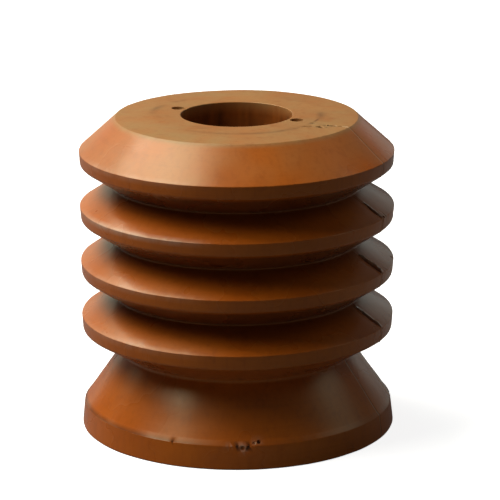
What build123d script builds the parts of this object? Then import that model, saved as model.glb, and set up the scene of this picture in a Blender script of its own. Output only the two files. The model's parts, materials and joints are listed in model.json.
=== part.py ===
from build123d import *

import os

# Hollow shedded insulator body, moulded in one piece. Millimetres, +Z up.
# The origin is the centre of the foot, and the mould's parting plane is the XZ plane.

# Body
body_height = 161.8
bore_radius = 28.3
bore_chamfer = 0.6

# Sheds: flat-edged rims, with the same slope above and below
shed_count = 4
shed_radius = 80.0
shed_pitch = 28.45
top_shed_height = 144.0  # upper edge of the highest rim
rim_height = 6.4
rim_draft = 0.5  # how much less the lower edge of a rim reaches out
rim_chamfer = 1.0

# Roots of the grooves between the sheds
root_radius = 63.1
root_height = 1.2

# Head: a ring face inside a witness line, a border that falls a little, then a long cone to the highest rim
head_radius = 61.5
head_fall = 1.0  # from the ring face to the outer edge of the border
head_fillet = 0.6
witness_radius = 42.7
witness_width = 0.6
witness_depth = 0.2

# Foot: a steep cone from the waist under the last shed, on a deep rim that widens downwards
waist_radius = 60.9
waist_height = 39.9
foot_rim_height = 13.0
foot_upper_radius = 78.9
foot_lower_radius = 80.6
foot_fillet = 2.5
foot_chamfer = 0.6

# Two fixing holes in the head, on the parting plane
fixing_circle = 66.2
fixing_radius = 3.3
fixing_depth = 22.0

# Tears on the parting line, in the upper sides of the sheds under the highest one: length, width, depth
tears = [(14.0, 1.2, 2.0), (15.5, 2.4, 3.0), (15.0, 1.4, 2.0)]
tear_margin = 1.0  # left whole between a tear and the edge of its rim


def rim_top(shed):
    """Height of a rim's upper edge; shed 0 is the highest."""
    return top_shed_height - shed * shed_pitch


def groove_middle(shed):
    """Height halfway between a shed's rim and the rim under it."""
    return (rim_top(shed) - rim_height + rim_top(shed + 1)) / 2


def root_corners(radius, height):
    """The short upright wall at the bottom of a groove, from below."""
    return [(radius, height - root_height / 2, 0), (radius, height + root_height / 2, 0)]


def rim_corners(shed, root):
    """A rim from below, with its lower edge cut back both ways from the corner it would have."""
    corner = Vector(shed_radius - rim_draft, rim_top(shed) - rim_height)
    root_top = Vector(root[-1][0], root[-1][1])
    underside = corner + (root_top - corner).normalized() * rim_chamfer
    return [
        (underside.X, underside.Y, 0),
        (corner.X, corner.Y + rim_chamfer, 0),
        (shed_radius, rim_top(shed), 0),
    ]


def outline_corners():
    """Corners of the half section, from the foot up and back down the bore: radius, height, fillet."""
    corners = [
        (foot_lower_radius - foot_chamfer, 0, 0),
        (foot_lower_radius, foot_chamfer, 0),
        (foot_upper_radius, foot_rim_height, foot_fillet),
    ]
    for shed in reversed(range(shed_count)):
        if shed == shed_count - 1:
            root = root_corners(waist_radius, waist_height)
        else:
            root = root_corners(root_radius, groove_middle(shed))
        corners += root + rim_corners(shed, root)
    return corners + [
        (head_radius, body_height - head_fall, head_fillet),
        (witness_radius + witness_width / 2, body_height, 0),
        (witness_radius, body_height - witness_depth, 0),
        (witness_radius - witness_width / 2, body_height, 0),
        (bore_radius + bore_chamfer, body_height, 0),
        (bore_radius, body_height - bore_chamfer, 0),
        (bore_radius, bore_chamfer, 0),
        (bore_radius + bore_chamfer, 0, 0),
    ]


def turned_body():
    """Foot, sheds, head and bore: one half section turned about the axis."""
    corners = outline_corners()
    outline = FilletPolyline(
        [(radius, height) for radius, height, _ in corners],
        radius=[fillet for _, _, fillet in corners],
        close=True,
    )
    return revolve(Plane.XZ * make_face(outline), Axis.Z)


def fixing_holes():
    hole = Cylinder(fixing_radius, fixing_depth, align=(Align.CENTER, Align.CENTER, Align.MAX))
    return [Pos(side * fixing_circle / 2, 0, body_height) * hole for side in (-1, 1)]


def tear(shed, length, width, depth):
    """A lens-shaped slot that runs down the upper side of a shed and stops short of the rim."""
    rim_edge = Vector(shed_radius, 0, rim_top(shed))
    root = Vector(root_radius, 0, groove_middle(shed - 1) - root_height / 2)
    uphill = (root - rim_edge).normalized()
    seat = Plane(
        origin=rim_edge + uphill * (tear_margin + length / 2),
        x_dir=uphill,
        z_dir=Vector(0, 1, 0).cross(-uphill),
    )
    side = ThreePointArc((-length / 2, 0), (0, width / 2), (length / 2, 0))
    lens = make_face([side, mirror(side, Plane.XZ)])
    return extrude(seat * lens, depth, both=True)


insulator_body = turned_body()
for hole in fixing_holes():
    insulator_body -= hole
for shed, (length, width, depth) in enumerate(tears, start=1):
    insulator_body -= tear(shed, length, width, depth)

os.makedirs("parts", exist_ok=True)
export_step(insulator_body.solid(), "parts/insulator_body.step")
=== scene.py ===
import json
import math

import bmesh
import bpy
import numpy as np
from mathutils import Matrix, Vector


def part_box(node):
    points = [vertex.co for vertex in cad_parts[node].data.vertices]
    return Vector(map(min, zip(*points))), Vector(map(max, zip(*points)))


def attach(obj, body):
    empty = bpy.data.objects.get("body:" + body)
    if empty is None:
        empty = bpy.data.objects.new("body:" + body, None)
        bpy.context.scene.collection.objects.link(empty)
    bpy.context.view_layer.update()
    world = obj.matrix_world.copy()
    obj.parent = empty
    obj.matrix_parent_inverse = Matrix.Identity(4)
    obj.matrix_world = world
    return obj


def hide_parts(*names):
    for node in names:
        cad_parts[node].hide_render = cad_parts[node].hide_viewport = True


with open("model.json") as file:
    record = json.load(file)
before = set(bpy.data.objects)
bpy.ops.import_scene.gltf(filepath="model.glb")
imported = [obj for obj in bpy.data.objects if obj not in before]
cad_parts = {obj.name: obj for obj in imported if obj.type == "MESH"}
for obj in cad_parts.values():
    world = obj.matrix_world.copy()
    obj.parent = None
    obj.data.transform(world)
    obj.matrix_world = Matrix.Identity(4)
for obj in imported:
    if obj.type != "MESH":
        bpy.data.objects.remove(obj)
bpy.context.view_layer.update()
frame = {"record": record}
mm = 0.001

mounts = {m["name"]: m for m in frame["record"]["mounts"]}
bodyLow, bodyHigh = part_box("insulator_body")


body = {  # the turned section, millimetres
    "height": bodyHigh.z / mm,
    "boreRadius": mounts["bore"]["dims"]["r_mm"],
    "footRadius": bodyHigh.x / mm,
    "footTopRadius": 79.2,
    "footRimHeight": 12.2,
    "shoulderRadius": 77.2,
    "shoulderHeight": 14.4,
    "waistRadius": 59.5,
    "waistHeight": 39.9,
    "shedCount": 4,
    "shedRadius": 80.0,
    "shedPitch": 28.45,
    "topShedHeight": 144.0,
    "rimHeight": 6.4,
    "lowestRimHeight": 7.1,
    "rimDraft": 0.5,
    "rootRadius": 62.8,
    "headRadius": 61.5,
    "headFall": 1.0,
    "witnessRadius": 42.7,
    "fixingCircle": mounts["fixing_holes"]["dims"]["pcd_mm"],
    "fixingRadius": mounts["fixing_holes"]["dims"]["hole_r_mm"],
    "fixingDepth": 22.0,
}
edges = {  # rounding of each kind of edge, millimetres
    "foot": 0.8, "footTop": 1.0, "shoulder": 2.6, "waist": 2.0, "root": 0.8,
    "rimLower": 1.5, "rimUpper": 0.45, "head": 0.9, "witness": 6.0, "bore": 0.45,
}
grid = {  # spacings in millimetres, angles in degrees
    "spacing": 2.85, "hiddenSpacing": 6.0, "columns": 248, "holeSides": 56,
    "arcSteps": 4, "arcTurn": 1.1,  # this many faces for a corner that turns this far, in radians
    "seamReach": 5.0, "seamStep": 0.3, "backSeamReach": 2.5, "backSeamStep": 0.5,
    "sharpAngle": 50,
}


def rimTop(shed):
    return body["topShedHeight"] - shed * body["shedPitch"]


def grooveMiddle(shed):
    return (rimTop(shed) - body["rimHeight"] + rimTop(shed + 1)) / 2


def sectionCorners():
    # radius, height, rounding, and the spacing of the side that starts here
    near, far = grid["spacing"], grid["hiddenSpacing"]
    corners = [
        (body["boreRadius"], 0, edges["bore"], far),
        (body["footRadius"], 0, edges["foot"], near),
        (body["footTopRadius"], body["footRimHeight"], edges["footTop"], near),
        (body["shoulderRadius"], body["shoulderHeight"], edges["shoulder"], near),
        (body["waistRadius"], body["waistHeight"], edges["waist"], near),
    ]
    for shed in reversed(range(body["shedCount"])):
        lowest = shed == body["shedCount"] - 1
        low = rimTop(shed) - body["lowestRimHeight" if lowest else "rimHeight"]
        corners.append((body["shedRadius"] - body["rimDraft"], low, edges["rimLower"], near))
        corners.append((body["shedRadius"], rimTop(shed), edges["rimUpper"], near))
        if shed > 0:
            corners.append((body["rootRadius"], grooveMiddle(shed - 1), edges["root"], near))
    corners.append((body["headRadius"], body["height"] - body["headFall"], edges["head"], near))
    corners.append((body["witnessRadius"], body["height"], edges["witness"], near))
    corners.append((body["boreRadius"], body["height"], edges["bore"], far))
    return corners


def roundedCorner(before, corner, after, radius):
    toBefore = (before - corner) / np.linalg.norm(before - corner)
    toAfter = (after - corner) / np.linalg.norm(after - corner)
    half = math.acos(np.clip(toBefore @ toAfter, -1, 1)) / 2
    reach = radius / math.tan(half)
    centre = corner + (toBefore + toAfter) / np.linalg.norm(toBefore + toAfter) * radius / math.sin(half)
    first = corner + toBefore * reach - centre
    last = corner + toAfter * reach - centre
    turn = math.pi - 2 * half
    steps = max(2, round(grid["arcSteps"] * turn / grid["arcTurn"]))
    points = []
    for i in range(steps + 1):
        t = i / steps
        spoke = first * math.sin((1 - t) * turn) + last * math.sin(t * turn)
        points.append(centre + spoke / math.sin(turn))
    return points


def sectionPoints():
    corners = sectionCorners()
    places = [np.array(c[:2], float) for c in corners]
    rounded = []
    for i, corner in enumerate(corners):
        after = places[(i + 1) % len(places)]
        rounded.append(roundedCorner(places[i - 1], places[i], after, corner[2]))
    points = []
    for i, arc in enumerate(rounded):
        points += arc
        start, end = arc[-1], rounded[(i + 1) % len(rounded)][0]
        pieces = max(1, round(np.linalg.norm(end - start) / corners[i][3]))
        points += [start + (end - start) * k / pieces for k in range(1, pieces)]
    return np.array(points)


def columnAngles():
    # even all round, with closer columns where the parting line crosses the body
    reach, backReach = grid["seamReach"], grid["backSeamReach"]
    clear = 0.1
    end = 0.01  # so that a last step that falls on the reach is kept
    close = list(np.arange(-reach, reach + end, grid["seamStep"]))
    close += list(180 + np.arange(-backReach, backReach + end, grid["backSeamStep"]))
    even = np.arange(grid["columns"]) * 360 / grid["columns"] - 180
    angles = [a for a in even if abs(a) > reach + clear and 180 - abs(a) > backReach + clear]
    angles += [(a + 180) % 360 - 180 for a in close]
    return np.radians(np.sort(np.array(angles)))


def turnedMesh(name):
    section, angles = sectionPoints(), columnAngles()
    rows, columns = len(section), len(angles)
    radius, height = section[:, 0][None, :], section[:, 1][None, :]
    x = np.cos(angles)[:, None] * radius
    y = np.sin(angles)[:, None] * radius
    z = np.broadcast_to(height, x.shape)
    points = np.stack([x, y, z], -1).reshape(-1, 3) * mm
    column, row = np.meshgrid(np.arange(columns), np.arange(rows), indexing="ij")
    nextColumn, nextRow = (column + 1) % columns, (row + 1) % rows
    faces = np.stack([column * rows + row, nextColumn * rows + row,
                      nextColumn * rows + nextRow, column * rows + nextRow], -1).reshape(-1, 4)
    mesh = bpy.data.meshes.new(name)
    mesh.from_pydata(points.tolist(), [], faces.tolist())
    mesh.update()
    return mesh


def cutFixingHoles(obj):
    radius, depth = body["fixingRadius"] * mm, body["fixingDepth"]
    above = 4
    for side in (-1, 1):
        cutterMesh = bpy.data.meshes.new("cutter")
        shape = bmesh.new()
        bmesh.ops.create_cone(shape, cap_ends=True, segments=grid["holeSides"],
                              radius1=radius, radius2=radius, depth=(depth + above) * mm)
        lift = (body["height"] - depth / 2 + above / 2) * mm
        bmesh.ops.translate(shape, verts=shape.verts, vec=(side * body["fixingCircle"] / 2 * mm, 0, lift))
        shape.to_mesh(cutterMesh)
        shape.free()
        cutter = bpy.data.objects.new("cutter", cutterMesh)
        bpy.context.scene.collection.objects.link(cutter)
        cut = obj.modifiers.new("hole", "BOOLEAN")
        cut.operation, cut.solver, cut.object = "DIFFERENCE", "EXACT", cutter
        applyModifiers(obj)
        bpy.data.objects.remove(cutter)
        bpy.data.meshes.remove(cutterMesh)


def applyModifiers(obj):
    graph = bpy.context.evaluated_depsgraph_get()
    graph.update()
    done = bpy.data.meshes.new_from_object(obj.evaluated_get(graph))
    obj.modifiers.clear()
    obj.data = done


# marks on the body: each place is an angle in degrees and a radius or height in millimetres

tears = [  # depth is at the edges of the opening; ridge is what stands between them
    {"shed": 1, "start": 1.6, "length": 12.0, "width": 1.1, "bow": 0.5, "depth": 2.0, "ridge": 0.2,
     "lip": 0.55, "drift": 0.6},
    {"shed": 2, "start": 0.6, "length": 15.5, "width": 2.3, "bow": 1.5, "depth": 2.6, "ridge": 0.8,
     "lip": 0.75, "drift": 0.2},
    {"shed": 3, "start": 0.5, "length": 17.5, "width": 1.5, "bow": 0.4, "depth": 2.4, "ridge": 0.7,
     "lip": 0.6, "drift": -0.5},
]
pits = [  # angle, radius, height, size, depth, paler scuff around it
    (-89.4, 79.0, 12.2, 0.8, 0.9, 0.0), (-65.3, 79.0, 12.2, 1.0, 1.1, 0.0),
    (-63.4, 79.3, 11.2, 1.4, 0.5, 0.9), (-61.2, 79.0, 12.1, 0.9, 1.1, 0.0),
    (-68.2, 79.0, 12.0, 1.0, 0.4, 0.6), (-57.4, 77.8, 13.7, 1.1, 1.4, 0.3),
    (-59.2, 78.0, 13.4, 0.9, 0.6, 0.6), (-8.6, 49.8, 161.4, 1.6, 2.0, 0.0),
    (-39.7, 71.2, 24.5, 0.6, 0.5, 0.0), (20.8, 79.0, 87.8, 1.0, 0.6, 0.0),
    (2.2, 79.4, 115.9, 1.0, 0.9, 0.5), (4.2, 79.6, 115.6, 0.7, 0.5, 0.8),
    (0.9, 79.5, 114.2, 0.8, 0.7, 0.4), (54.4, 49.5, 161.5, 0.5, 0.3, 0.0),
    (-94.0, 79.8, 56.0, 0.6, 0.4, 0.0), (-100.0, 79.8, 53.6, 0.6, 0.4, 0.0),
]


def lattice(points, seed):
    # a repeatable random value at every whole point, blended smoothly in between
    whole = np.floor(points).astype(np.int64)
    part = points - whole
    part = part * part * (3 - 2 * part)
    total = np.zeros(len(points))
    for corner in range(8):
        offset = np.array([corner & 1, corner >> 1 & 1, corner >> 2 & 1])
        c = whole + offset
        h = c[:, 0] * 374761393 + c[:, 1] * 668265263 + c[:, 2] * 2147483647 + seed * 1274126177
        h = h & 0xFFFFFFFF
        h = ((h ^ (h >> 13)) * 1274126177) & 0xFFFFFFFF
        value = ((h ^ (h >> 16)) & 0xFFFF) / 32767.5 - 1
        total += value * np.prod(np.where(offset == 1, part, 1 - part), axis=1)
    return total


def roughNoise(points, size, seed):
    # two layers of it, the second half as large and half as strong
    total, strength = np.zeros(len(points)), 1.0
    for octave in range(2):
        total += lattice(points / size * 2 ** octave + seed * 7.31, seed + octave) * strength
        strength *= 0.5
    return total


def bump(x, width):
    return np.exp(-(x / width) ** 2)


def smoothStep(low, high, x):
    t = np.clip((x - low) / (high - low), 0, 1)
    return t * t * (3 - 2 * t)


class Surface:
    def __init__(self, mesh):
        count = len(mesh.vertices)
        co = np.zeros(count * 3)
        mesh.vertices.foreach_get("co", co)
        no = np.zeros(count * 3)
        mesh.vertex_normals.foreach_get("vector", no)
        self.points = co.reshape(-1, 3) / mm
        self.normals = no.reshape(-1, 3)
        self.radius = np.hypot(self.points[:, 0], self.points[:, 1])
        self.angle = np.degrees(np.arctan2(self.points[:, 1], self.points[:, 0]))
        self.height = self.points[:, 2]
        self.outside = self.radius > body["boreRadius"] + 1.5
        self.shift = np.zeros(count)
        # the three marks below carry painted shade, painted sheen and painted highlights as well as stains,
        # chalk and scuffs
        self.shadeAndDirt = np.zeros(count)
        self.chalkAndSheen = np.zeros(count)
        self.scuffAndHighlight = np.zeros(count)


skin = {  # unevenness of the moulded skin: size across and depth of each kind of wave
    "wide": (34, 0.10), "middle": (15, 0.07), "small": (6, 0.012), "middleSquash": 1.6,
}


def addWobble(s):
    squashed = s.points * [1, 1, skin["middleSquash"]]
    for name, points, seed in (("wide", s.points, 1), ("middle", squashed, 3), ("small", s.points, 2)):
        size, depth = skin[name]
        s.shift += roughNoise(points, size, seed) * depth * s.outside


seam = {  # the parting line's flash, the step beside it, the flash at the back, the painted shade past the step and the painted highlight on the flash
    "height": 0.26, "width": 0.42, "step": 0.22, "stepWidth": 0.38, "stepAway": 0.75,
    "backHeight": 0.18, "backWidth": 0.5, "drift": 0.25, "shadeAndDirt": 0.7, "scuffAndHighlight": 0.35,
}


def addSeam(s):
    # a thin raised line where the mould halves met, with a slight step, drifting a little from true
    along = s.height / 9 + s.radius / 13
    drift = roughNoise(np.stack([along, along * 0, along * 0], -1), 1.6, 5) * seam["drift"]
    side = s.points[:, 1] - drift
    front = (s.points[:, 0] > 0) & s.outside & (s.height > 0.5)
    back = (s.points[:, 0] < 0) & s.outside & (s.height > 0.5)
    onFace = smoothStep(body["headRadius"] + 0.5, body["headRadius"] - 2, s.radius)
    onFace *= s.height > body["height"] - 2
    strength = (0.75 + 0.25 * roughNoise(s.points, 6, 6)) * (1 - onFace)
    s.shift += front * strength * seam["height"] * bump(side, seam["width"])
    s.shift -= front * strength * seam["step"] * bump(side - seam["stepAway"], seam["stepWidth"])
    s.shift += back * strength * seam["backHeight"] * bump(side, seam["backWidth"])
    # a painted shadow just past the step and a painted highlight along the flash
    seamShade = front * strength * seam["shadeAndDirt"] * bump(side - seam["stepAway"] - 0.05, seam["width"])
    s.shadeAndDirt = np.maximum(s.shadeAndDirt, seamShade)
    s.scuffAndHighlight = np.maximum(s.scuffAndHighlight, front * strength * seam["scuffAndHighlight"] * bump(side, seam["width"] + 0.03))


def addTears(s):
    slope = math.atan2(grooveMiddle(0) - rimTop(1), body["shedRadius"] - body["rootRadius"])
    for tear in tears:
        shed, length, width = tear["shed"], tear["length"], tear["width"]
        inward = (body["shedRadius"] - s.radius) / math.cos(slope) - tear["start"]
        onFlank = (s.height < grooveMiddle(shed - 1) + 0.5) & (s.height > rimTop(shed) - 1.2)
        onFlank &= s.points[:, 0] > 0
        t = np.clip(inward / length, 0, 1)
        swell = np.sin(math.pi * t ** 0.75) ** 0.7  # widest nearer to the rim
        ragged = roughNoise(s.points, 1.5, 11 + shed)
        wander = roughNoise(s.points * [1, 0, 1], 2.6, 21 + shed) * 0.25
        lean = tear["drift"] * (t - 0.4) + wander
        low = lean - width * 0.5 * swell - 0.12 * ragged
        high = lean + (width * 0.5 + tear["bow"] * (1 - t)) * swell + 0.18 * ragged
        y = s.points[:, 1]
        lengthwise = smoothStep(-0.1, 0.5, inward) * smoothStep(length + 0.1, length - 1.2, inward) * onFlank
        opening = lengthwise * smoothStep(low - 0.12, low + 0.25, y) * smoothStep(high + 0.12, high - 0.25, y)
        middle, half = (low + high) / 2 + 0.15 * width, np.maximum((high - low) / 2, 0.1)
        ridge = tear["ridge"] * bump(y - middle, half * 0.42)
        s.shift -= opening * tear["depth"] * (0.85 + 0.15 * ragged) * (1 - ridge)
        lip = lengthwise * bump(np.maximum(y - high - 0.6, (high + 0.6 - y) * 1.3), 0.8) * (1 - opening)
        s.shift += lip * tear["lip"] * (0.8 + 0.4 * ragged)
        lowLip = lengthwise * bump(y - low + 0.4, 0.4) * (1 - opening)
        s.shift += lowLip * tear["lip"] * 0.25
        # painted shade between the torn edges, painted highlights on the ridge and the lip
        s.shadeAndDirt = np.maximum(s.shadeAndDirt * (1 - opening * ridge), opening * 0.7 * (1 - ridge))
        s.scuffAndHighlight = np.maximum(s.scuffAndHighlight, lip * (0.6 + 0.3 * ragged) + opening * ridge * 0.35)


witness = {  # extra depth and stain of each stretch of the ring left by the mould's core
    "front": (0.16, 0.40), "right": (0.14, 0.46), "left": (0.15, 0.50), "back": (0.10, 0.40),
    "depth": 0.03, "width": 0.32, "wander": 0.22, "innerRadius": 34.0, "innerDepth": 0.08, "innerStain": 0.25,
}


def addWitnessLine(s):
    onFace = s.height > body["height"] - 1.5
    wander = witness["wander"] * roughNoise(s.points, 14, 31)
    off = s.radius - body["witnessRadius"] - wander
    angle = s.angle
    stretches = {
        "front": smoothStep(-108, -84, angle) * smoothStep(-10, -18, angle),
        "right": smoothStep(-14, -4, angle) * smoothStep(35, 24, angle),
        "left": np.clip(smoothStep(-150, -165, angle) + smoothStep(172, 180, angle), 0, 1),
        "back": smoothStep(148, 155, angle) * smoothStep(168, 162, angle),
    }
    depth = witness["depth"] + sum(witness[name][0] * part for name, part in stretches.items())
    depth = depth * (0.75 + 0.3 * roughNoise(s.points, 5, 32))
    s.shift -= onFace * depth * bump(off, witness["width"])
    s.shift += onFace * 0.07 * stretches["front"] * bump(off - 0.7, 0.45)
    stain = sum(witness[name][1] * part for name, part in stretches.items())
    stain = np.clip(stain * (0.7 + 0.35 * roughNoise(s.points, 4, 33)), 0, 0.8)
    s.shadeAndDirt = np.maximum(s.shadeAndDirt, onFace * stain * bump(off, 0.36 + 0.35 * stretches["right"]))
    # a shorter, fainter line inside it
    inner = onFace * smoothStep(-112, -100, angle) * smoothStep(-84, -92, angle)
    inner = inner * bump(s.radius - witness["innerRadius"], 0.35)
    s.shift -= inner * witness["innerDepth"]
    s.shadeAndDirt = np.maximum(s.shadeAndDirt, inner * witness["innerStain"])


blisters = [  # x, y, size, rise
    (44.5, -12.6, 1.6, 0.3), (46.5, -9.5, 1.5, 0.25), (41.0, -12.0, 1.8, 0.25),
    (46.5, -4.5, 2.0, 0.25), (51.5, -6.2, 1.2, 0.2), (43.6, 4.6, 1.5, 0.2),
]
hollows = [  # x, y, half length, half width, turn in degrees, depth
    (42.7, -10.7, 2.9, 1.0, 44, 0.9), (45.3, -8.4, 1.1, 0.8, 20, 0.6), (47.4, -7.6, 0.8, 1.1, 0, 0.5),
    (43.2, -2.4, 1.0, 1.2, 90, 0.45), (49.9, -3.2, 0.6, 0.9, 0, 0.4), (52.2, -6.4, 0.5, 0.8, 0, 0.35),
]
crack = {"start": 51.2, "end": 59.6, "depth": 1.0, "startWidth": 1.35, "width": 0.85, "taper": 0.5}
chip = {"x": -28.6, "y": 0.6, "size": 1.5, "depth": 0.5}


def addBlister(s):
    # where the parting line meets the witness line the skin has blistered and cracked
    onFace = s.height > body["height"] - 2.0
    x, y = s.points[:, 0], s.points[:, 1]
    for cx, cy, size, rise in blisters:
        s.shift += onFace * rise * bump(np.hypot(x - cx, y - cy), size)
    for cx, cy, long, wide, turned, depth in hollows:
        turn = math.radians(turned)
        u = (x - cx) * math.cos(turn) + (y - cy) * math.sin(turn)
        v = (y - cy) * math.cos(turn) - (x - cx) * math.sin(turn)
        hollow = onFace * bump(np.hypot(u / long, v / wide), 1)
        s.shift -= depth * hollow
        # painted shade in each hollow
        s.shadeAndDirt = np.maximum(s.shadeAndDirt, hollow * 0.6)
    along = np.clip((x - 51.0) / 8.2, 0, 1)
    middle = -2.5 + 2.4 * along + 0.25 * roughNoise(s.points * [1, 0, 0], 1.2, 41)
    width = np.where(x < 54.6, crack["startWidth"], crack["width"] - crack["taper"] * along)
    inCrack = onFace * (x > crack["start"]) * (x < crack["end"])
    inCrack = inCrack * smoothStep(1.0, 0.5, np.abs(y - middle) / width)
    s.shift -= crack["depth"] * inCrack
    # painted shade in the crack, darkest in its wide part
    s.shadeAndDirt = np.maximum(s.shadeAndDirt, inCrack * np.where(x < 54.8, 0.85, 0.65))
    chipped = bump(np.hypot(x - chip["x"], y - chip["y"]), chip["size"]) * (s.height > body["height"] - 3)
    s.shift -= chip["depth"] * chipped


def pitCentre(pit):
    angle, radius, height = math.radians(pit[0]), pit[1], pit[2]
    return np.array([radius * math.cos(angle), radius * math.sin(angle), height])


def addPits(s):
    shallow = 0.45  # a pit no deeper than this gets no painted shade
    for pit in pits:
        size, depth, scuffed = pit[3:]
        away = np.linalg.norm(s.points - pitCentre(pit), axis=1) * (1 + 0.25 * roughNoise(s.points, 1.0, 51))
        hollow = smoothStep(size, size * 0.45, away)
        s.shift -= depth * hollow
        # deeper pits get painted shade inside, the deeper the darker
        if depth > shallow:
            s.shadeAndDirt = np.maximum(s.shadeAndDirt, hollow * min(1, depth))
        s.scuffAndHighlight = np.maximum(s.scuffAndHighlight, scuffed * bump(away, size * 1.1) * (1 - hollow))


wearAndPaintedLight = {  # shares of each finish: chalk and painted sheen on the head, painted sheen under the sheds, painted shade in the roots, under the sheds and in the bore, and painted highlights along the rims' upper edges
    "coneChalkAndSheen": 0.16, "faceChalkAndSheen": 0.60, "underSheen": 0.05,
    "rootShade": 0.40, "underShade": 0.50, "boreShade": 0.58,
    "edgeHighlight": 0.22, "brightestEdgeHighlight": 0.5, "brightestHighlightShed": 1, "nickDepth": 0.9, "footNickDepth": 0.8,
}


def addHeadChalkAndSheen(s):
    # the head is paler, most of all on its flat face: partly weathered, partly a painted sheen for how
    # brightly it is lit
    cone = smoothStep(rimTop(0) - 0.3, rimTop(0) + 0.4, s.height)
    face = smoothStep(body["headRadius"] + 1.6, body["headRadius"] + 0.3, s.radius)
    face = face * (s.height > body["height"] - body["headFall"] - 1.2)
    s.chalkAndSheen = wearAndPaintedLight["coneChalkAndSheen"] * cone * (1 + 0.9 * roughNoise(s.points, 13, 71))
    blotches = 0.10 * roughNoise(s.points, 10, 72) + 0.06 * roughNoise(s.points * [1, 1, 0], 3, 73)
    s.chalkAndSheen += face * (wearAndPaintedLight["faceChalkAndSheen"] + blotches)
    s.chalkAndSheen *= s.radius > body["boreRadius"] - 0.2


def addPaintedShadeAndSheen(s):
    # painted shade in the roots of the grooves, under the sheds and down the bore, and a pale painted sheen
    # on the undersides of the sheds
    for shed in range(body["shedCount"]):
        low = rimTop(shed) - body["rimHeight"] - 0.8
        under = (s.height < low) & (s.height > low - 11) & (s.normals[:, 2] < -0.3) & s.outside
        # a pale painted sheen on the undersides, standing in for their reflection of the floor
        s.scuffAndHighlight = np.maximum(s.scuffAndHighlight, under * (wearAndPaintedLight["underSheen"] + 0.03 * roughNoise(s.points, 12, 83)))
    for shed in range(body["shedCount"] - 1):
        near = smoothStep(body["shedPitch"] / 2, 2, np.abs(s.height - grooveMiddle(shed)))
        # painted shade deepening into the roots of the grooves
        s.shadeAndDirt = np.maximum(s.shadeAndDirt, wearAndPaintedLight["rootShade"] * near * smoothStep(76, 64, s.radius))
        # painted shade under each shed
        below = (s.height > grooveMiddle(shed)) & (s.height < rimTop(shed) - body["rimHeight"] - 0.6)
        s.shadeAndDirt = np.maximum(s.shadeAndDirt, below * (wearAndPaintedLight["underShade"] + 0.08 * roughNoise(s.points, 8, 82)))
    # painted shade down the bore, streaked
    inside = (s.radius < body["boreRadius"] + 0.6) * smoothStep(body["height"], body["height"] - 3, s.height)
    streak = roughNoise(s.points * [1, 1, 0.12], 3.5, 81)
    s.shadeAndDirt = np.maximum(s.shadeAndDirt, inside * (wearAndPaintedLight["boreShade"] + 0.25 * streak))


def addNicksEdgeHighlightsAndCrease(s):
    # small nicks along the upper edges of the rims and of the foot, and a painted highlight along the rims'
    # upper edges, strongest at the left front
    nick = np.clip(roughNoise(s.points, 2.6, 61) - 0.72, 0, 1)
    for shed in range(body["shedCount"]):
        away = np.hypot(s.radius - body["shedRadius"], s.height - rimTop(shed))
        s.shift -= bump(away, 0.9) * (wearAndPaintedLight["nickDepth"] * nick + 0.05 * roughNoise(s.points, 5, 62))
        share = wearAndPaintedLight["brightestEdgeHighlight" if shed == wearAndPaintedLight["brightestHighlightShed"] else "edgeHighlight"]
        # a painted highlight on the left-front stretch of each rim's upper edge, brightest on the second shed
        edgeHighlight = smoothStep(-150, -125, s.angle) * smoothStep(-70, -95, s.angle) * share
        edgeHighlight = np.clip(edgeHighlight * (1 + 0.5 * roughNoise(s.points, 3, 64)), 0, 1)
        s.scuffAndHighlight = np.maximum(s.scuffAndHighlight, bump(away, 0.55) * edgeHighlight)
    foot = bump(np.hypot(s.radius - body["footTopRadius"], s.height - body["footRimHeight"]), 1.4)
    s.shift -= foot * wearAndPaintedLight["footNickDepth"] * nick
    # the thin crease above the foot's rim, with painted shade along it, deepest at the left
    left = smoothStep(-72, -96, s.angle) * smoothStep(-179, -160, s.angle)
    line = bump(s.height - body["footRimHeight"] - 0.2, 0.42) * (s.radius > body["footTopRadius"] - 2)
    line = line * (0.25 + 0.6 * left + 0.15 * roughNoise(s.points, 7, 63))
    s.shift -= line * 0.3
    s.shadeAndDirt = np.maximum(s.shadeAndDirt, np.clip(line, 0, 1) * 0.7)


def subdivideWhere(shape, choose, cuts):
    shape.verts.index_update()
    places = np.array([v.co for v in shape.verts]) / mm
    ends = np.array([(e.verts[0].index, e.verts[1].index) for e in shape.edges])
    wanted = choose(places[ends[:, 0]], places[ends[:, 1]])
    shape.edges.ensure_lookup_table()
    chosen = [shape.edges[i] for i in np.nonzero(wanted)[0]]
    bmesh.ops.subdivide_edges(shape, edges=chosen, cuts=cuts, use_grid_fill=True)


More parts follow.
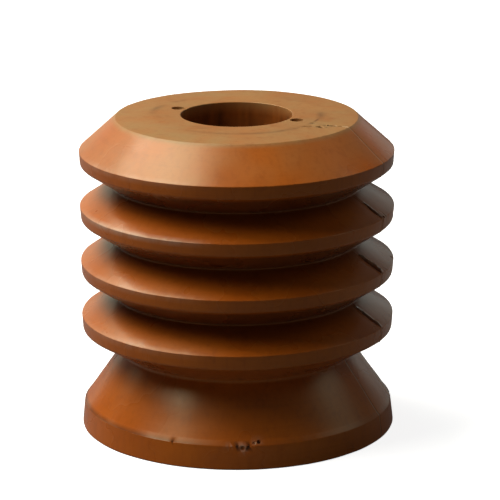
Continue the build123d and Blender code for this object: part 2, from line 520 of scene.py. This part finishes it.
def refine(mesh):
    # finer faces round the small marks
    shape = bmesh.new()
    shape.from_mesh(mesh)

    def nearPit(p, q):
        wanted = np.zeros(len(p), bool)
        for pit in pits:
            reach = pit[3] + 1.6
            near = np.linalg.norm(p - pitCentre(pit), axis=1) < reach
            wanted |= near & (np.linalg.norm(q - pitCentre(pit), axis=1) < reach)
        return wanted

    def alongTear(p, q):
        # edges that run down a flank, near the parting line
        low, high = np.minimum(p, q), np.maximum(p, q)
        wanted = np.zeros(len(p), bool)
        for tear in tears:
            above = low[:, 2] > rimTop(tear["shed"]) - 0.3
            wanted |= above & (high[:, 2] < grooveMiddle(tear["shed"] - 1))
        straight = np.abs(p[:, 1] - q[:, 1]) < 0.15
        return wanted & straight & (np.abs(p[:, 1]) < 4.5) & (low[:, 0] > body["rootRadius"])

    def onBlister(p, q, longer):
        low, high = np.minimum(p, q), np.maximum(p, q)
        inside = (low[:, 2] > body["height"] - 1.6) & (low[:, 0] > 38.5) & (high[:, 0] < 61)
        inside &= (low[:, 1] > -15) & (high[:, 1] < 8)
        return inside & (np.linalg.norm(p - q, axis=1) > longer)

    subdivideWhere(shape, nearPit, 3)
    subdivideWhere(shape, alongTear, 5)
    subdivideWhere(shape, lambda p, q: onBlister(p, q, 1.2), 5)
    subdivideWhere(shape, lambda p, q: onBlister(p, q, 0.7), 2)
    shape.to_mesh(mesh)
    shape.free()
    mesh.update()


def makeBody():
    obj = bpy.data.objects.new("insulatorBody", turnedMesh("insulatorBody"))
    bpy.context.scene.collection.objects.link(obj)
    cutFixingHoles(obj)
    refine(obj.data)
    mesh = obj.data
    mesh.shade_smooth()
    surface = Surface(mesh)
    for mark in (addWobble, addHeadChalkAndSheen, addPaintedShadeAndSheen, addSeam, addWitnessLine,
                 addBlister, addPits, addNicksEdgeHighlightsAndCrease, addTears):
        mark(surface)
    moved = (surface.points + surface.normals * surface.shift[:, None]) * mm
    # nothing stands out past the foot or the ends
    limit = body["footRadius"] * mm
    across = np.hypot(moved[:, 0], moved[:, 1])
    moved[:, :2] *= (np.minimum(across, limit) / np.maximum(across, 1e-9))[:, None]
    moved[:, 2] = np.clip(moved[:, 2], 0, body["height"] * mm)
    mesh.vertices.foreach_set("co", moved.ravel())
    for name, values in (("shadeAndDirt", surface.shadeAndDirt), ("scuffAndHighlight", surface.scuffAndHighlight), ("chalkAndSheen", surface.chalkAndSheen)):
        layer = mesh.attributes.new(name, "FLOAT", "POINT")
        layer.data.foreach_set("value", np.clip(values, 0, 1))
    mesh.update()
    weighted = obj.modifiers.new("normals", "WEIGHTED_NORMAL")
    weighted.keep_sharp = True
    mesh.set_sharp_from_angle(angle=math.radians(grid["sharpAngle"]))
    return obj


finish = {
    "brown": (0.42, 0.090, 0.005), "bright": (0.48, 0.112, 0.006), "dark": (0.22, 0.040, 0.003),
    # the pale tan also paints the lit head's sheen, the pale scuff colour also paints highlights, and the
    # near-black colour mostly paints shade
    "chalkAndSheen": (0.345, 0.193, 0.071), "scuffAndHighlight": (0.58, 0.44, 0.33), "shadeAndDirt": (0.026, 0.010, 0.006),
    "roughness": 0.28, "chalkRoughness": 0.16, "glossTint": (1.0, 0.98, 0.64),
    "patchScale": 22.0, "fleckScale": 160.0,
    "streakScale": (14.0, 14.0, 900.0), "grainScale": (420.0, 420.0, 70.0),
    "fleckShare": 0.35, "streakShare": 0.12, "grainShare": 0.16,
}


def addNode(tree, kind, place, **values):
    node = tree.nodes.new(kind)
    node.location = place
    for name, value in values.items():
        if hasattr(node, name):
            setattr(node, name, value)
        else:
            node.inputs[name.replace("_", " ")].default_value = value
    return node


def mixColour(tree, place, factor, first, second):
    mix = tree.nodes.new("ShaderNodeMix")
    mix.data_type, mix.location = "RGBA", place
    for socket, value in ((mix.inputs["Factor"], factor), (mix.inputs[6], first), (mix.inputs[7], second)):
        if isinstance(value, bpy.types.NodeSocket):
            tree.links.new(value, socket)
        elif isinstance(value, (int, float)):
            socket.default_value = value
        else:
            socket.default_value = (*value, 1)
    return mix.outputs[2]


def mapRange(tree, place, value, low, high, toLow=0.0, toHigh=1.0):
    node = tree.nodes.new("ShaderNodeMapRange")
    node.location = place
    tree.links.new(value, node.inputs["Value"])
    for name, number in (("From Min", low), ("From Max", high), ("To Min", toLow), ("To Max", toHigh)):
        node.inputs[name].default_value = number
    return node.outputs["Result"]


def stretchedNoise(tree, height, where, scale, detail, roughness):
    stretch = addNode(tree, "ShaderNodeVectorMath", (-1350, height), operation="MULTIPLY")
    stretch.inputs[1].default_value = scale
    tree.links.new(where, stretch.inputs[0])
    noise = addNode(tree, "ShaderNodeTexNoise", (-1100, height), Scale=1.0,
                    Detail=detail, Roughness=roughness)
    tree.links.new(stretch.outputs[0], noise.inputs["Vector"])
    return noise.outputs[0]


def bodyMaterial():
    material = bpy.data.materials.new("mouldedBrown")
    material.use_nodes = True
    tree = material.node_tree
    link = tree.links.new
    shader = tree.nodes["Principled BSDF"]
    where = addNode(tree, "ShaderNodeTexCoord", (-1600, 0)).outputs["Object"]

    patches = addNode(tree, "ShaderNodeTexNoise", (-1100, 300), Scale=finish["patchScale"],
                      Detail=3.0, Roughness=0.55)
    link(where, patches.inputs["Vector"])
    flecks = addNode(tree, "ShaderNodeTexNoise", (-1100, 0), Scale=finish["fleckScale"],
                     Detail=4.0, Roughness=0.6)
    link(where, flecks.inputs["Vector"])
    # streaks run round the body, and a faint grain runs up and down it
    streaks = stretchedNoise(tree, -300, where, finish["streakScale"], 3.0, 0.6)
    grain = stretchedNoise(tree, -600, where, finish["grainScale"], 2.0, 0.5)
    # the three attributes read here also carry painted sheen on the head, painted shade in hollows, grooves
    # and under the sheds, and painted highlights on edges, lips and the seam
    chalkAndSheen, shadeAndDirt, scuffAndHighlight = (
        addNode(tree, "ShaderNodeAttribute", (-1100, height), attribute_name=name).outputs["Fac"]
        for name, height in (("chalkAndSheen", 850), ("shadeAndDirt", 700), ("scuffAndHighlight", 550))
    )

    bright = mapRange(tree, (-850, 300), patches.outputs[0], 0.35, 0.7)
    fleckMask = mapRange(tree, (-850, 0), flecks.outputs[0], 0.55, 0.8, 0, finish["fleckShare"])
    streakMask = mapRange(tree, (-850, -300), streaks, 0.5, 0.75, 0, finish["streakShare"])
    grainMask = mapRange(tree, (-850, -600), grain, 0.5, 0.72, 0, finish["grainShare"])
    base = mixColour(tree, (-600, 300), bright, finish["brown"], finish["bright"])
    base = mixColour(tree, (-500, 300), chalkAndSheen, base, finish["chalkAndSheen"])
    base = mixColour(tree, (-400, 300), fleckMask, base, finish["dark"])
    base = mixColour(tree, (-300, 300), streakMask, base, finish["dark"])
    base = mixColour(tree, (-200, 300), scuffAndHighlight, base, finish["scuffAndHighlight"])
    base = mixColour(tree, (-100, 300), shadeAndDirt, base, finish["shadeAndDirt"])
    base = mixColour(tree, (0, 300), grainMask, base, finish["dark"])
    link(base, shader.inputs["Base Color"])

    # the chalky head is duller
    low, high = finish["roughness"] - 0.05, finish["roughness"] + 0.07
    gloss = mapRange(tree, (-600, -100), patches.outputs[0], 0.3, 0.75, low, high)
    duller = addNode(tree, "ShaderNodeMath", (-300, -50), operation="MULTIPLY_ADD")
    duller.inputs[1].default_value = finish["chalkRoughness"]
    link(chalkAndSheen, duller.inputs[0])
    link(gloss, duller.inputs[2])
    link(duller.outputs[0], shader.inputs["Roughness"])
    shader.inputs["Specular Tint"].default_value = (*finish["glossTint"], 1)
    shader.inputs["Specular IOR Level"].default_value = 0.5
    shader.inputs["IOR"].default_value = 1.45

    normal = None
    for height, strength, distance in ((grain, 0.07, 0.0006), (streaks, 0.04, 0.0006),
                                       (flecks.outputs[0], 0.10, 0.0004)):
        relief = addNode(tree, "ShaderNodeBump", (-200, -400), Strength=strength, Distance=distance)
        link(height, relief.inputs["Height"])
        if normal:
            link(normal, relief.inputs["Normal"])
        normal = relief.outputs[0]
    link(normal, shader.inputs["Normal"])
    return material


stage = {
    "floorColour": 0.8, "floorBounce": 0.14, "floorGlow": 0.84, "glossShare": 0.06,
    "ambient": 0.04, "surroundings": 0.10, "floorSize": 12.0,
    "viewAngle": 25,  # degrees from the body's front round to the camera
}
warm = (1.0, 0.97, 0.90)
mellow = (0.98, 1.0, 0.78)
plain = (0.92, 1.0, 0.94)
lights = {  # degrees round from the camera's side, degrees up, metres away, metres across, watts
    "window": (252, 61, 1.25, 0.85, 17.5, warm),
    "front": (292, 52, 1.25, 0.62, 5.5, warm),
    "low": (235, 33, 1.25, 0.60, 1.9, mellow),
    "behind": (205, 11, 1.25, 0.70, 0.95, mellow),
    "rightBehind": (150, 8, 1.25, 0.60, 0.42, plain),
    "right": (95, 35, 1.25, 0.60, 0.95, plain),
}
viewAngle = math.radians(stage["viewAngle"])
cameraRight = Vector((math.cos(viewAngle), math.sin(viewAngle), 0))
cameraFront = Vector((math.sin(viewAngle), -math.cos(viewAngle), 0))


def backgroundRays(tree, glossShare):
    # 1 for what the camera sees directly or through glass, a share of it in reflections
    path = addNode(tree, "ShaderNodeLightPath", (-900, 200))
    share = addNode(tree, "ShaderNodeMath", (-700, 100), operation="MULTIPLY")
    share.inputs[1].default_value = glossShare
    tree.links.new(path.outputs["Is Glossy Ray"], share.inputs[0])
    both = addNode(tree, "ShaderNodeMath", (-550, 200), operation="MAXIMUM")
    tree.links.new(path.outputs["Is Camera Ray"], both.inputs[0])
    tree.links.new(path.outputs["Is Transmission Ray"], both.inputs[1])
    seen = addNode(tree, "ShaderNodeMath", (-400, 200), operation="MAXIMUM")
    tree.links.new(both.outputs[0], seen.inputs[0])
    tree.links.new(share.outputs[0], seen.inputs[1])
    return seen.outputs[0]


def floorMaterial():
    material = bpy.data.materials.new("paleFloor")
    material.use_nodes = True
    tree = material.node_tree
    shader = tree.nodes["Principled BSDF"]
    seen = backgroundRays(tree, stage["glossShare"])
    pale, dim = stage["floorColour"], stage["floorBounce"]
    colour = mixColour(tree, (-200, 200), seen, (dim,) * 3, (pale,) * 3)
    tree.links.new(colour, shader.inputs["Base Color"])
    glow = addNode(tree, "ShaderNodeMath", (-200, 0), operation="MULTIPLY")
    glow.inputs[1].default_value = stage["floorGlow"]
    tree.links.new(seen, glow.inputs[0])
    shader.inputs["Emission Color"].default_value = (1, 1, 1, 1)
    tree.links.new(glow.outputs[0], shader.inputs["Emission Strength"])
    shader.inputs["Roughness"].default_value = 0.9
    shader.inputs["Specular IOR Level"].default_value = 0.0
    return material


def makeFloor():
    half = stage["floorSize"] / 2
    corners = [(-half, -half, 0), (half, -half, 0), (half, half, 0), (-half, half, 0)]
    mesh = bpy.data.meshes.new("floor")
    mesh.from_pydata(corners, [], [(0, 1, 2, 3)])
    mesh.materials.append(floorMaterial())
    floor = bpy.data.objects.new("floor", mesh)
    bpy.context.scene.collection.objects.link(floor)


def makeWorld():
    world = bpy.data.worlds.new("studio")
    bpy.context.scene.world = world
    world.use_nodes = True
    tree = world.node_tree
    background = tree.nodes["Background"]
    background.inputs["Color"].default_value = (1, 1, 1, 1)
    seen = backgroundRays(tree, stage["surroundings"])
    level = addNode(tree, "ShaderNodeMath", (-200, 0), operation="MAXIMUM")
    level.inputs[1].default_value = stage["ambient"]
    tree.links.new(seen, level.inputs[0])
    tree.links.new(level.outputs[0], background.inputs["Strength"])


def makeLight(name, around, up, distance, size, power, colour):
    data = bpy.data.lights.new(name, "AREA")
    data.shape, data.size, data.energy, data.color = "SQUARE", size, power, colour
    lamp = bpy.data.objects.new(name, data)
    bpy.context.scene.collection.objects.link(lamp)
    turn, rise = math.radians(around), math.radians(up)
    flat = cameraFront * math.cos(turn) + cameraRight * math.sin(turn)
    direction = flat * math.cos(rise) + Vector((0, 0, math.sin(rise)))
    lamp.location = Vector((0, 0, body["height"] / 2 * mm)) + direction * distance
    lamp.rotation_mode = "QUATERNION"
    lamp.rotation_quaternion = direction.to_track_quat("Z", "Y")
    lamp.visible_camera = False


view = {  # millimetres and degrees
    "distance": 1363.1, "height": 472.1, "down": 15.645, "turn": 0.2753, "roll": -0.178,
    "lens": 198.9, "sensor": 36.0,
}


def makeCamera():
    data = bpy.data.cameras.new("camera")
    data.lens, data.sensor_width = view["lens"], view["sensor"]
    data.clip_start, data.clip_end = 0.05, 20.0
    camera = bpy.data.objects.new("camera", data)
    bpy.context.scene.collection.objects.link(camera)
    camera.location = cameraFront * view["distance"] * mm + Vector((0, 0, view["height"] * mm))
    aim = Matrix.Rotation(viewAngle - math.radians(view["turn"]), 4, "Z")
    aim = aim @ Matrix.Rotation(math.radians(90 - view["down"]), 4, "X")
    aim = aim @ Matrix.Rotation(math.radians(view["roll"]), 4, "Z")
    camera.rotation_euler = aim.to_euler()
    bpy.context.scene.camera = camera


insulator = makeBody()
insulator.data.materials.clear()
insulator.data.materials.append(bodyMaterial())
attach(insulator, "root")
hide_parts("insulator_body")
triangles = sum(len(face.vertices) - 2 for face in insulator.data.polygons)
print("body made:", len(insulator.data.vertices), "points,", triangles, "triangles")

makeFloor()
makeWorld()
for name, place in lights.items():
    makeLight(name, *place)
makeCamera()
bpy.context.scene.view_settings.view_transform = "Standard"
print("stage, lights and camera made")
